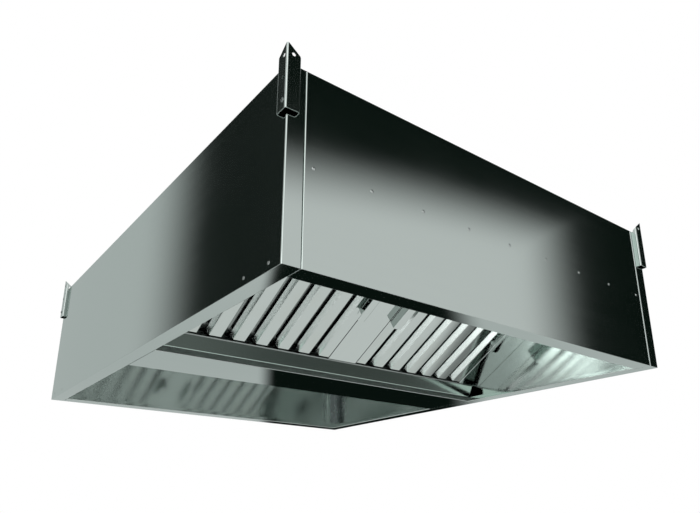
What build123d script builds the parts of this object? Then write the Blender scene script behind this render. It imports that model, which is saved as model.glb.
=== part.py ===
# Island canopy hood: a riveted stainless box, hung by its corners, with two rows of labyrinth cassettes in a V.
# Frame: origin at the middle of the bottom rim, +Z up, X across the front, +Y to the back. Millimetres.
from build123d import *
from math import atan2, cos, degrees, radians, sin
import os

os.makedirs("parts", exist_ok=True)

# Canopy box
canopy_width = 1200.0
canopy_length = 1500.0
canopy_height = 400.0
sheet = 1.2
panel_bend = 3.0
rim_break = 1.0
corner_wrap = 40.0
side_lip = 40.0
front_lip = 47.0
lip_upstand = 14.0
seam_flange = 20.0
top_flange = 25.0
roof_edge_gap = 1.0

# Duct collar
collar_radius = 157.5
collar_height = 60.0
collar_flange = 25.0

# Central bar and grease trough
bar_width = 190.0
bar_upstand = 15.0
bar_edge_round = 1.5
trough_lift = 0.3
trough_depth = 36.7
trough_top_width = 212.0
trough_flare = 9.5
trough_end_gap = 25.3
trough_hem = 4.0

# Filter rows
slope = 30.0
row_foot_gap = 3.0
row_foot_rise = 1.5
rail_gap = 0.4
rail_lip = 3.0
rail_back = 12.0
drain_length = 24.0
drain_width = 4.0
drain_depth = 18.0
drain_pitch = 60.0
drain_count = 18
cassette_pitch = 550.0
cassette_width = 449.0
cassette_length = 489.4
cassette_depth = 24.0
seat_gap = 0.3
channel_reach = 24.6
channel_overlap = 11.7
blank_gap = 0.75
blank_depth = 23.0
closing_foot = 23.6
closing_flange = 20.0

# Labyrinth baffles: the front and the rear channels have one section
baffle_sheet = 1.0
web_count = 7
web_width = 34.0
flank_reach = 15.0
flank_run = 9.5
frame_return = 8.0
tab_width = 27.0
tab_length = 7.0
tab_drop = 3.5
frame_slot_length = 20.0
frame_slot_width = 5.0

# Grips
grip_start = 188.0
grip_length = 98.0
grip_width = 24.0
grip_stand = 27.0
grip_foot = 14.0
grip_inset = 3.0
grip_bend = 2.0

# Stiffeners, corner angles and cleats
stiffener_leg = 25.0
stiffener_middle = 199.0
angle_bend = 2.0
angle_long_leg = 80.0
angle_short_leg = 33.0
angle_bottom = 30.0
angle_top = 390.0
cleat_height = 24.8
cleat_foot = 20.0
cleat_length = 146.0
cleat_start = 4.0

# Hanging brackets
bracket_sheet = 2.5
bracket_bend = 4.0
bracket_stand = 9.0
bracket_flange = 32.0
bracket_bottom = 294.5
bracket_apex = 438.0
bracket_shoulder = 413.5
hanger_hole_radius = 4.0
end_hole_inset = 10.5
end_hole_heights = (412.0, 363.0)
front_hole_inset = 15.0
front_hole_height = 414.0
screw_height = 314.0

# Rivets, nuts and screws
rivet_head_radius = 3.6
rivet_head_height = 1.1
rivet_taper = 40.0
row_rivets = 9
row_pitch = 135.0
rim_rivet_height = 15.0
rim_rivet_places = (42.0, 130.0)
roof_rivet_pitch = 250.0
roof_rivets_side = 6
roof_rivets_end = 5
collar_rivets_count = 8
bar_rivet_place = 60.0
bar_rivet_height = 8.0
stud_radius = 3.0
nut_radius = 5.5
nut_height = 4.0
stud_tip = 2.0
nut_inset = 74.0
nut_heights = (114.0, 214.0, 314.0)
screw_head_radius = 5.0
screw_head_height = 2.6
screw_taper = 30.0

# Places that follow from the sizes above
half_width = canopy_width / 2
half_length = canopy_length / 2
seam_x = half_width - corner_wrap
inner_x = half_width - sheet
inner_y = half_length - sheet
roof_under = canopy_height - sheet
flange_under = roof_under - sheet
inner_span = 2 * inner_x
trough_bottom = bar_upstand + trough_lift
trough_top = trough_bottom + trough_depth
trough_top_length = 2 * (inner_x - trough_end_gap)
row_foot_y = trough_top_width / 2 + row_foot_gap
row_foot_z = trough_top + row_foot_rise
rail_front = rail_gap + sheet
rail_rear = cassette_depth + rail_front
channel_top = seat_gap + cassette_length + channel_reach + sheet
channel_mouth = seat_gap + cassette_length - channel_overlap
turns = {"front": 1, "back": -1}
rows = {"near": 1, "far": -1}
sides = {"left": -1, "right": 1}
corners = {f"{end}_{side}": (turns[end], sides[side]) for end in turns for side in sides}


def finish(builder, name):
    """Label a finished piece and write it to its own file."""
    builder.part.label = name
    export_step(builder.part, f"parts/{name}.step")


def fold(plane, outer_line, length, side, wall=sheet, radius=panel_bend):
    """Fold a strip of sheet along its outer line, drawn on a plane, and run it for a length."""
    with BuildSketch(plane) as section:
        with BuildLine():
            FilletPolyline(*outer_line, radius=radius)
            offset(amount=wall, side=side, kind=Kind.INTERSECTION)
        make_face()
    extrude(section.sketch, amount=length)


def plate(plane, left, right, low, high, thickness):
    """Lay a flat plate on a plane between two pairs of edges."""
    with BuildSketch(plane) as outline:
        with Locations(((left + right) / 2, (low + high) / 2)):
            Rectangle(right - left, high - low)
    extrude(outline.sketch, amount=thickness)


def level(turn, height):
    """Horizontal plane at a height, turned half round for the back or the right piece."""
    return Plane(origin=(0, 0, height), x_dir=(turn, 0, 0), z_dir=(0, 0, 1))


def facing(x, y, z, direction):
    """Plane at a point, whose normal is the direction in which a fastener's head stands."""
    return Plane(origin=(x, y, z), z_dir=direction)


def row_plane(turn):
    """Front face of a filter row: X along the row, Y up the slope, Z towards the cook."""
    return Plane(
        origin=(0, -turn * row_foot_y, row_foot_z),
        x_dir=(turn, 0, 0),
        z_dir=(0, -turn * sin(radians(slope)), -cos(radians(slope))),
    )


def across(row, place, climb):
    """Plane square to the slope, at a place along the row: X along the row, Y into the depth."""
    return Plane(origin=row.from_local_coords((place, climb, 0)), x_dir=row.x_dir, z_dir=row.y_dir)


def along(row, place):
    """Plane square to the row, at a place along it: X up the slope, Y towards the cook."""
    return Plane(origin=row.from_local_coords((place, 0, 0)), x_dir=row.y_dir, z_dir=row.x_dir)


def cassette_plane(turn, side):
    """A row's plane, moved to the middle of a cassette's foot. Side is -1 for left and 1 for right."""
    row = row_plane(turn)
    return Plane(
        origin=row.from_local_coords((turn * side * cassette_pitch / 2, seat_gap, 0)),
        x_dir=row.x_dir,
        z_dir=row.z_dir,
    )


def drill(places, radius, depth):
    """Drill a hole through the piece at each plane."""
    with Locations(*[place.location for place in places]):
        Cylinder(radius, depth, mode=Mode.SUBTRACT)


# Where the rivets, nuts and screws sit
front_places = {
    end: [
        facing(row_pitch * (i - (row_rivets - 1) / 2), -turn * half_length, stiffener_middle, (0, -turn, 0))
        for i in range(row_rivets)
    ]
    for end, turn in turns.items()
}
rim_places = {
    side: [
        facing(way * half_width, end * (half_length - place), rim_rivet_height, (way, 0, 0))
        for end in (-1, 1)
        for place in rim_rivet_places
    ]
    for side, way in sides.items()
}
flange_middle_x = half_width - top_flange / 2
flange_middle_y = half_length - top_flange / 2
roof_side_places = [
    facing(way * flange_middle_x, roof_rivet_pitch * (i - (roof_rivets_side - 1) / 2), canopy_height, (0, 0, 1))
    for way in (-1, 1)
    for i in range(roof_rivets_side)
]
roof_end_places = [
    facing(roof_rivet_pitch * (i - (roof_rivets_end - 1) / 2), way * flange_middle_y, canopy_height, (0, 0, 1))
    for way in (-1, 1)
    for i in range(roof_rivets_end)
]
collar_places = [
    facing(
        (collar_radius + collar_flange / 2) * cos(radians(360 * i / collar_rivets_count)),
        (collar_radius + collar_flange / 2) * sin(radians(360 * i / collar_rivets_count)),
        canopy_height + sheet,
        (0, 0, 1),
    )
    for i in range(collar_rivets_count)
]
bar_places = [
    facing(way * (seam_x - sheet), place, bar_rivet_height, (-way, 0, 0))
    for way in (-1, 1)
    for place in (-bar_rivet_place, bar_rivet_place)
]
nut_places = {
    corner: [
        facing(way * (inner_x - sheet), -turn * (inner_y - nut_inset), height, (-way, 0, 0))
        for height in nut_heights
    ]
    for corner, (turn, way) in corners.items()
}
bracket_face_x = half_width + bracket_stand
bracket_face_y = half_length + bracket_stand
end_hole_places = {
    corner: [
        facing(way * bracket_face_x, -turn * (bracket_face_y - end_hole_inset), height, (way, 0, 0))
        for height in end_hole_heights
    ]
    for corner, (turn, way) in corners.items()
}
front_hole_places = {
    corner: facing(way * (bracket_face_x - front_hole_inset), -turn * bracket_face_y, front_hole_height, (0, -turn, 0))
    for corner, (turn, way) in corners.items()
}
screw_places = {
    corner: facing(way * bracket_face_x, -turn * (bracket_face_y - end_hole_inset), screw_height, (way, 0, 0))
    for corner, (turn, way) in corners.items()
}

# End panels: a web whose edges wrap round the corners, with the bottom lip, its upstand and the top flange
for side, way in sides.items():
    turn = -way
    with BuildPart() as end_panel:
        fold(
            level(turn, 0),
            [
                (-seam_x, seam_flange - half_length),
                (-seam_x, -half_length),
                (-half_width, -half_length),
                (-half_width, half_length),
                (-seam_x, half_length),
                (-seam_x, half_length - seam_flange),
            ],
            roof_under,
            Side.RIGHT,
        )
        chamfer(end_panel.faces().sort_by(Axis.Z)[0].edges().group_by(Axis.X)[0 if way < 0 else -1], rim_break)
        lip_edge = side_lip - half_width
        plate(level(turn, 0), rim_break - half_width, lip_edge, rim_break - half_length, half_length - rim_break, sheet)
        upstand_end = half_length - front_lip
        plate(level(turn, 0), lip_edge - sheet, lip_edge, -upstand_end, upstand_end, lip_upstand)
        plate(
            level(turn, flange_under),
            rim_break - half_width,
            top_flange - half_width,
            rim_break - half_length,
            half_length - rim_break,
            sheet,
        )
    finish(end_panel, f"{side}_end_panel")

# Front and back panels: between the wraps, with the ends turned in behind the seams
for end, turn in turns.items():
    with BuildPart() as front_panel:
        fold(
            level(turn, 0),
            [
                (-seam_x, seam_flange - half_length),
                (-seam_x, -half_length),
                (seam_x, -half_length),
                (seam_x, seam_flange - half_length),
            ],
            roof_under,
            Side.LEFT,
        )
        chamfer(front_panel.faces().sort_by(Axis.Z)[0].edges().group_by(Axis.Y)[0 if turn > 0 else -1], rim_break)
        lip_edge = front_lip - half_length
        plate(level(turn, 0), -seam_x, seam_x, rim_break - half_length, lip_edge, sheet)
        plate(level(turn, 0), -seam_x, seam_x, lip_edge - sheet, lip_edge, lip_upstand)
        plate(level(turn, flange_under), -seam_x, seam_x, rim_break - half_length, top_flange - half_length, sheet)
    finish(front_panel, f"{end}_panel")

# Roof panel with the duct hole
with BuildPart() as roof_panel:
    with BuildSketch(Plane.XY.offset(roof_under)):
        Rectangle(canopy_width - 2 * roof_edge_gap, canopy_length - 2 * roof_edge_gap)
        Circle(collar_radius - sheet, mode=Mode.SUBTRACT)
    extrude(amount=sheet)
finish(roof_panel, "roof_panel")

# Duct collar
with BuildPart() as duct_collar:
    with BuildSketch(Plane.XY.offset(canopy_height)):
        Circle(collar_radius + collar_flange)
        Circle(collar_radius - sheet, mode=Mode.SUBTRACT)
    extrude(amount=sheet)
    with BuildSketch(Plane.XY.offset(canopy_height)):
        Circle(collar_radius)
        Circle(collar_radius - sheet, mode=Mode.SUBTRACT)
    extrude(amount=collar_height)
finish(duct_collar, "duct_collar")

# Central bar: a shallow folded tray between the end panels
with BuildPart() as central_bar:
    with BuildSketch():
        Rectangle(2 * seam_x, bar_width)
    extrude(amount=bar_upstand)
    fillet(central_bar.faces().sort_by(Axis.Z)[0].edges().filter_by(Axis.X), bar_edge_round)
    offset(amount=-sheet, openings=central_bar.faces().sort_by(Axis.Z)[-1])
finish(central_bar, "central_bar")

# Grease trough: a flared tray that stands on the bar's upstands
with BuildPart() as grease_trough:
    with BuildSketch(Plane.XY.offset(trough_bottom)):
        Rectangle(trough_top_length - 2 * trough_flare, trough_top_width - 2 * trough_flare)
    extrude(amount=trough_depth, taper=-degrees(atan2(trough_flare, trough_depth)))
    offset(amount=-sheet, openings=grease_trough.faces().sort_by(Axis.Z)[-1])
    with BuildSketch(Plane.XY.offset(trough_top - sheet)):
        Rectangle(trough_top_length - sheet, trough_top_width - sheet)
        Rectangle(trough_top_length - 2 * trough_hem, trough_top_width - 2 * trough_hem, mode=Mode.SUBTRACT)
    extrude(amount=sheet)
finish(grease_trough, "grease_trough")

# Rails, closing plates and blanks of both rows
for row_name, turn in rows.items():
    row = row_plane(turn)

    with BuildPart() as lower_rail:
        fold(
            along(row, -inner_x),
            [(rail_lip, rail_front), (-sheet, rail_front), (-sheet, -rail_rear), (rail_back, -rail_rear)],
            inner_span,
            Side.LEFT,
            radius=0,
        )
        with BuildSketch(across(row, 0, -sheet)):
            with Locations((0, drain_depth)):
                with GridLocations(drain_pitch, 1, drain_count, 1):
                    Rectangle(drain_length, drain_width)
        extrude(amount=sheet, mode=Mode.SUBTRACT)
    finish(lower_rail, f"{row_name}_lower_rail")

    with BuildPart() as upper_rail:
        fold(
            along(row, -inner_x),
            [
                (channel_mouth, rail_front),
                (channel_top, rail_front),
                (channel_top, -rail_rear),
                (channel_mouth, -rail_rear),
            ],
            inner_span,
            Side.RIGHT,
            radius=0,
        )
    finish(upper_rail, f"{row_name}_upper_rail")

    rail_corner = row.from_local_coords((0, channel_top, rail_front))
    rail_inner = row.from_local_coords((0, channel_top, rail_front - closing_foot))
    with BuildPart() as closing_plate:
        fold(
            Plane(origin=(-turn * inner_x, 0, 0), x_dir=(0, turn, 0), z_dir=(turn, 0, 0)),
            [
                (turn * rail_inner.Y, rail_inner.Z),
                (turn * rail_corner.Y, rail_corner.Z),
                (turn * rail_corner.Y, roof_under),
                (turn * rail_corner.Y + closing_flange, roof_under),
            ],
            inner_span,
            Side.RIGHT,
            radius=0,
        )
        with BuildSketch(Plane.XY.offset(flange_under)):
            with Locations((half_width - top_flange / 2, 0), (top_flange / 2 - half_width, 0)):
                Rectangle(top_flange, canopy_length)
        extrude(amount=sheet, mode=Mode.SUBTRACT)
    finish(closing_plate, f"{row_name}_closing_plate")

    bay_edge = (cassette_pitch - cassette_width) / 2
    outer_edge = cassette_pitch / 2 + cassette_width / 2
    blanks = {
        "left": (-inner_x, -outer_edge - blank_gap),
        "centre": (blank_gap - bay_edge, bay_edge - blank_gap),
        "right": (outer_edge + blank_gap, inner_x),
    }
    for blank_name, (start, stop) in blanks.items():
        low, high = sorted((turn * start, turn * stop))
        with BuildPart() as blank:
            fold(
                across(row, 0, 0),
                [(low, blank_depth), (low, -rail_gap), (high, -rail_gap), (high, blank_depth)],
                seat_gap + cassette_length,
                Side.LEFT,
                radius=0,
            )
        finish(blank, f"{row_name}_{blank_name}_blank")

# Cassettes: frame, two layers of interleaved channels, and grips. The outer channels stand upright at the frame
web_pitch = (cassette_width - 2 * baffle_sheet - web_width) / (web_count - 1)
first_web = -web_pitch * (web_count - 1) / 2
inner_foot = baffle_sheet
inner_head = cassette_length - baffle_sheet
web_foot = inner_foot + tab_length
half_web = web_width / 2
rear_face = cassette_depth - baffle_sheet
rear_tip = rear_face - flank_reach
for row_name, turn in rows.items():
    for side, way in sides.items():
        base = cassette_plane(turn, way)
        name = f"{row_name}_{side}"
        slot_places = [(first_web + web_pitch * (i + 0.5), -cassette_depth / 2) for i in range(web_count - 1)]

        with BuildPart() as frame:
            with BuildSketch(base.offset(-cassette_depth)):
                with Locations((0, cassette_length / 2)):
                    Rectangle(cassette_width, cassette_length)
                    Rectangle(
                        cassette_width - 2 * baffle_sheet, cassette_length - 2 * baffle_sheet, mode=Mode.SUBTRACT
                    )
            extrude(amount=cassette_depth)
            with BuildSketch(base.offset(-cassette_depth)):
                with Locations((0, cassette_length / 2)):
                    Rectangle(cassette_width, cassette_length)
                    Rectangle(
                        cassette_width - 2 * frame_return, cassette_length - 2 * frame_return, mode=Mode.SUBTRACT
                    )
            extrude(amount=baffle_sheet)
            with BuildSketch(Plane(origin=base.origin, x_dir=base.x_dir, z_dir=-base.y_dir)):
                with Locations(*slot_places):
                    Rectangle(frame_slot_length, frame_slot_width)
            extrude(amount=-baffle_sheet, mode=Mode.SUBTRACT)
        finish(frame, f"{name}_frame")

        with BuildPart() as front_baffles:
            for i in range(web_count):
                place = first_web + web_pitch * i
                left_tip = -half_web - (flank_run if i > 0 else 0)
                right_tip = half_web + (flank_run if i < web_count - 1 else 0)
                fold(
                    across(base, place, web_foot),
                    [(left_tip, flank_reach), (-half_web, 0), (half_web, 0), (right_tip, flank_reach)],
                    inner_head - web_foot,
                    Side.LEFT,
                    wall=baffle_sheet,
                    radius=0,
                )
                with BuildSketch(along(base, place - tab_width / 2)):
                    Polygon(
                        (web_foot, 0),
                        (inner_foot, -tab_drop),
                        (inner_foot, -tab_drop - baffle_sheet),
                        (web_foot, -baffle_sheet),
                        align=None,
                    )
                extrude(amount=tab_width)
        finish(front_baffles, f"{name}_front_baffles")

        with BuildPart() as rear_baffles:
            for i in range(web_count - 1):
                place = first_web + web_pitch * (i + 0.5)
                fold(
                    across(base, place, inner_foot),
                    [
                        (-half_web - flank_run, rear_tip),
                        (-half_web, rear_face),
                        (half_web, rear_face),
                        (half_web + flank_run, rear_tip),
                    ],
                    inner_head - inner_foot,
                    Side.RIGHT,
                    wall=baffle_sheet,
                    radius=0,
                )
        finish(rear_baffles, f"{name}_rear_baffles")

        with BuildPart() as grips:
            for hand, inner_side in ((1, Side.LEFT), (-1, Side.RIGHT)):
                cheek = hand * (grip_inset - cassette_width / 2)
                fold(
                    across(base, 0, grip_start),
                    [
                        (cheek + hand * grip_foot, 0),
                        (cheek, 0),
                        (cheek, -grip_stand),
                        (cheek + hand * grip_width, -grip_stand),
                    ],
                    grip_length,
                    inner_side,
                    radius=[0, grip_bend],
                )
        finish(grips, f"{name}_grips")

# Stiffeners behind the rows of rivets
for end, turn in turns.items():
    with BuildPart() as stiffener:
        reach = seam_x - panel_bend
        fold(
            Plane(origin=(-turn * reach, 0, 0), x_dir=(0, turn, 0), z_dir=(turn, 0, 0)),
            [
                (-inner_y, stiffener_middle - stiffener_leg / 2),
                (-inner_y, stiffener_middle + stiffener_leg / 2),
                (stiffener_leg - inner_y, stiffener_middle + stiffener_leg / 2),
            ],
            2 * reach,
            Side.RIGHT,
            radius=0,
        )
    finish(stiffener, f"{end}_stiffener")

# Corner angles inside the box, and the hanging brackets outside it
for corner, (turn, way) in corners.items():
    hand = turn * way
    inner_side = Side.LEFT if hand < 0 else Side.RIGHT
    with BuildPart() as corner_angle:
        fold(
            level(turn, angle_bottom),
            [
                (hand * inner_x, angle_long_leg - inner_y),
                (hand * inner_x, -inner_y),
                (hand * (inner_x - angle_short_leg), -inner_y),
            ],
            angle_top - angle_bottom,
            inner_side,
            radius=angle_bend,
        )
    finish(corner_angle, f"{corner}_corner_angle")

    with BuildPart() as bracket:
        fold(
            level(turn, bracket_bottom),
            [
                (hand * half_width, bracket_flange - bracket_face_y),
                (hand * bracket_face_x, bracket_flange - bracket_face_y),
                (hand * bracket_face_x, -bracket_face_y),
                (hand * (bracket_face_x - bracket_flange), -bracket_face_y),
                (hand * (bracket_face_x - bracket_flange), -half_length),
            ],
            bracket_apex - bracket_bottom,
            inner_side,
            wall=bracket_sheet,
            radius=[0, bracket_bend, 0],
        )
        fold_x = way * bracket_face_x
        fold_y = -turn * bracket_face_y
        edge_x = fold_x - way * bracket_flange
        edge_y = fold_y + turn * bracket_flange
        with BuildSketch(Plane(origin=(0, fold_y, 0), x_dir=(1, 0, 0), z_dir=(0, -1, 0))):
            Polygon((fold_x, bracket_apex), (edge_x, bracket_shoulder), (edge_x, bracket_apex), align=None)
        extrude(amount=bracket_stand, both=True, mode=Mode.SUBTRACT)
        with BuildSketch(Plane(origin=(fold_x, 0, 0), x_dir=(0, 1, 0), z_dir=(1, 0, 0))):
            Polygon((fold_y, bracket_apex), (edge_y, bracket_shoulder), (edge_y, bracket_apex), align=None)
        extrude(amount=bracket_stand, both=True, mode=Mode.SUBTRACT)
        drill(end_hole_places[corner], hanger_hole_radius, 4 * bracket_sheet)
        drill([front_hole_places[corner]], hanger_hole_radius, 4 * bracket_sheet)
    finish(bracket, f"{corner}_bracket")

# Cleats in the bottom corners, held by the rim rivets
with BuildPart() as corner_cleats:
    for turn, way in corners.values():
        cleat_ends = sorted(-turn * (inner_y - cleat_start - reach) for reach in (0, cleat_length))
        fold(
            Plane(origin=(way * inner_x, cleat_ends[0 if way > 0 else 1], 0), x_dir=(-way, 0, 0), z_dir=(0, way, 0)),
            [(0, sheet + cleat_height), (0, sheet), (cleat_foot, sheet)],
            cleat_length,
            Side.LEFT,
            radius=0,
        )
finish(corner_cleats, "corner_cleats")

# Rivet head: a low six-sided cone that seats on the sheet
with BuildPart() as rivet:
    with BuildSketch():
        RegularPolygon(rivet_head_radius, 6)
    extrude(amount=rivet_head_height, taper=rivet_taper)

rivet_groups = {
    "front_rivets": front_places["front"],
    "back_rivets": front_places["back"],
    "rim_rivets": rim_places["left"] + rim_places["right"],
    "roof_rivets": roof_side_places + roof_end_places,
    "collar_rivets": collar_places,
    "bar_rivets": bar_places,
}
for group_name, places in rivet_groups.items():
    with BuildPart() as rivet_group:
        with Locations(*[place.location for place in places]):
            add(rivet.part)
    finish(rivet_group, group_name)

# Nuts on the studs that hold the corner angles
with BuildPart() as stud_nut:
    with BuildSketch():
        RegularPolygon(nut_radius, 6)
    extrude(amount=nut_height)
    with BuildSketch(Plane.XY.offset(nut_height)):
        RegularPolygon(stud_radius, 6)
    extrude(amount=stud_tip)
with BuildPart() as corner_nuts:
    with Locations(*[place.location for places in nut_places.values() for place in places]):
        add(stud_nut.part)
finish(corner_nuts, "corner_nuts")

# Screw heads of the hanging brackets
with BuildPart() as bracket_screw:
    with BuildSketch():
        RegularPolygon(screw_head_radius, 12)
    extrude(amount=screw_head_height, taper=screw_taper)
with BuildPart() as bracket_screws:
    with Locations(*[place.location for place in screw_places.values()]):
        add(bracket_screw.part)
finish(bracket_screws, "bracket_screws")
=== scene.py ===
# Looks of the island exhaust hood: satin stainless sheet, labyrinth filters, rivets and hanging brackets.
# Every measure is in metres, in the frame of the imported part.
from math import cos, pi, radians, sin

import bmesh
import bpy
from mathutils import Matrix, Vector


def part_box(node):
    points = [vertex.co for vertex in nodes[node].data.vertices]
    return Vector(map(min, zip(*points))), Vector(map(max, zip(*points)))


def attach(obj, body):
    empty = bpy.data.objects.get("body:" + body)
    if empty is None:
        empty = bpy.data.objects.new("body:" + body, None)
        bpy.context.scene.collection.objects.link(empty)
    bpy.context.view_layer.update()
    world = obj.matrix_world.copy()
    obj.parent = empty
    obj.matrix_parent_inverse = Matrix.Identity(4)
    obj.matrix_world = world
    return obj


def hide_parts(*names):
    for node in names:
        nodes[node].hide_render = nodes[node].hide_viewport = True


bl_info = {
    "name": "Island exhaust hood",
    "version": (1, 0, 0),
    "blender": (4, 5, 0),
    "location": "View3D > Sidebar > Hood",
    "description": "Dresses a packed island exhaust hood in satin stainless steel",
    "category": "Object",
}

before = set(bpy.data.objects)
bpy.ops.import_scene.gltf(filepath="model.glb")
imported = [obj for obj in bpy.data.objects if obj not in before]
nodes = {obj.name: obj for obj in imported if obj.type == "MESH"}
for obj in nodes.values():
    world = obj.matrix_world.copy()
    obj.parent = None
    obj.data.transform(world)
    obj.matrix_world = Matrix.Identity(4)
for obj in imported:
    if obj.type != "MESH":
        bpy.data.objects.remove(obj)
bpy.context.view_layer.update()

# Canopy, rows and cassettes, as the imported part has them
HALF_WIDTH = 0.6
HALF_LENGTH = 0.75
HEIGHT = 0.4
SHEET = 0.0012
SEAM_X = 0.56
SEAM_FLANGE = 0.02
TOP_FLANGE = 0.025
FRONT_LIP = 0.047
LIP_UPSTAND = 0.014
FOLD_RADIUS = 0.002
EDGE_BREAK = 0.0003
SLOPE = radians(30)
ROW_FOOT = (0.109, 0.0535)
CASSETTE_PITCH = 0.55
CASSETTE_WIDTH = 0.449
CASSETTE_LENGTH = 0.4894
SEAT_GAP = 0.0003
BAFFLE_SHEET = 0.001
WEB_COUNT = 7
CASSETTE_DEPTH = 0.024
WEB_WIDTH = 0.034
FLANK_REACH = 0.015
FLANK_RUN = 0.0095
WEB_PITCH = (CASSETTE_WIDTH - 2 * BAFFLE_SHEET - WEB_WIDTH) / (WEB_COUNT - 1)
INNER_FOOT = BAFFLE_SHEET
INNER_HEAD = CASSETTE_LENGTH - BAFFLE_SHEET
WEB_FOOT = INNER_FOOT + 0.007
TAB_WIDTH = 0.027
TAB_DROP = 0.0035
BRACKET_FACE = 0.009
BRACKET_LEG = 0.032
BRACKET_FOOT = 0.2945
BRACKET_APEX = 0.438
BRACKET_SHOULDER = 0.4135
HANGER_HOLE_RADIUS = 0.004
HANGER_HOLE_INSET = 0.0105
COLLAR_RADIUS = 0.1575
TROUGH_FLARE = 0.0095
TROUGH_HEM = 0.004
TURNS = {"near": 1, "far": -1}
SIDES = {"left": -1, "right": 1}
CORNERS = {"front_left": (1, -1), "front_right": (1, 1), "back_left": (-1, -1), "back_right": (-1, 1)}
ACROSS, ALONG, UPRIGHT = (1, 0, 0), (0, 1, 0), (0, 0, 1)
NEAR = 1e-6

# Profiles of turned heads, as shares of the radius and of the height
RIVET_HEAD = ((1, 0), (1, 0.25), (0.94, 0.5), (0.8, 0.78), (0.58, 0.96), (0.4, 1), (0.36, 0.9), (0.36, 0.45))
SCREW_HEAD = ((1, 0), (1, 0.35), (0.95, 0.6), (0.8, 0.88), (0.6, 1), (0.5, 1), (0.47, 0.92), (0.47, 0.35))

# Studio gear on a wide sphere. Each band has four places: begin, full, fade and end. Bearings are in degrees
# from the back towards the right, and heights in metres.
GEAR_RADIUS = 60
BACK_FLAG = (28.6, 30.4, 46.6, 50.6)
LEFT_FLAG = (-42.0, -34.0, -24.2, -18.2)
RIGHT_FLAG = (85.0, 95.0, 121.2, 127.3)
LOW_FLAG_HEIGHTS = (-26.0, -18.0, -5.0, -2.0)
VEIL = (66.0, 74.0, 92.0, 100.0)
STRIP = (-99.0, -95.0, -86.0, -82.5)
STRIP_HEIGHTS = (-38.0, -34.5, -29.0, -26.0)
STRIP_STRENGTH = 9.0
GLOW = (-148.0, -138.0, -114.0, -104.0)
GLOW_HEIGHTS = (8.0, 16.0, 46.0, 52.0)
GLOW_STRENGTH = 2.4
WHITE = (1, 1, 1, 1)


class HoodSizes(bpy.types.PropertyGroup):
    """Sizes of the small parts."""

    bend: bpy.props.FloatProperty(
        name="Bend radius",
        description="Outer radius of the bends of the baffles",
        default=0.0016,
        unit="LENGTH",
    )
    panel_bend: bpy.props.FloatProperty(
        name="Panel bend",
        description="Outer radius of the bends of the panels",
        default=0.003,
        unit="LENGTH",
    )
    rivet_radius: bpy.props.FloatProperty(
        name="Rivet radius", description="Radius of a rivet's head", default=0.0036, unit="LENGTH"
    )
    rivet_height: bpy.props.FloatProperty(
        name="Rivet height", description="Height of a rivet's head", default=0.0011, unit="LENGTH"
    )
    screw_radius: bpy.props.FloatProperty(
        name="Screw radius", description="Radius of a bracket screw's head", default=0.0045, unit="LENGTH"
    )
    screw_height: bpy.props.FloatProperty(
        name="Screw height", description="Height of a bracket screw's head", default=0.0018, unit="LENGTH"
    )
    nut_radius: bpy.props.FloatProperty(
        name="Nut radius",
        description="Radius over the corners of a stud's nut",
        default=0.0055,
        unit="LENGTH",
    )


class HoodFinish(bpy.types.PropertyGroup):
    """Colours and gloss of the steel."""

    steel: bpy.props.FloatVectorProperty(
        name="Steel",
        description="Colour of the stainless sheet",
        subtype="COLOR",
        default=(0.425, 0.475, 0.455),
    )
    inner_steel: bpy.props.FloatVectorProperty(
        name="Inner steel",
        description="Colour of the sheet inside the canopy",
        subtype="COLOR",
        default=(0.45, 0.50, 0.48),
    )
    gloss: bpy.props.FloatProperty(
        name="Roughness",
        description="Roughness of the satin sheet",
        default=0.075,
        min=0.0,
        max=1.0,
        subtype="FACTOR",
    )
    grain: bpy.props.FloatProperty(
        name="Grain",
        description="Depth of the brushed grain",
        default=0.006,
        min=0.0,
        max=1.0,
        subtype="FACTOR",
    )


class HoodStage(bpy.types.PropertyGroup):
    """Camera, floor and flags."""

    lens: bpy.props.FloatProperty(name="Lens", description="Focal length in millimetres", default=32.585)
    shift: bpy.props.FloatProperty(name="Shift", description="Upward shift of the lens", default=0.085)
    eye: bpy.props.FloatVectorProperty(
        name="Eye", description="Place of the camera", default=(-1.0923, -1.5799, -0.4065), unit="LENGTH"
    )
    pitch: bpy.props.FloatProperty(
        name="Pitch", description="Upward tilt of the camera", default=radians(18.228), unit="ROTATION"
    )
    yaw: bpy.props.FloatProperty(
        name="Yaw",
        description="Turn of the camera from the back towards the right",
        default=radians(37.387),
        unit="ROTATION",
    )
    floor_height: bpy.props.FloatProperty(
        name="Floor", description="Height of the floor", default=-1.95, unit="LENGTH"
    )


class Value:
    """One socket of a shader. Arithmetic on it adds Math nodes."""

    def __init__(self, shade, socket):
        self.shade = shade
        self.socket = socket

    def __add__(self, other):
        return self.shade.math("ADD", self, other)

    def __sub__(self, other):
        return self.shade.math("SUBTRACT", self, other)

    def __rsub__(self, other):
        return self.shade.math("SUBTRACT", other, self)

    def __mul__(self, other):
        return self.shade.math("MULTIPLY", self, other)

    def __truediv__(self, other):
        return self.shade.math("DIVIDE", self, other)

    __radd__ = __add__
    __rmul__ = __mul__


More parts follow.
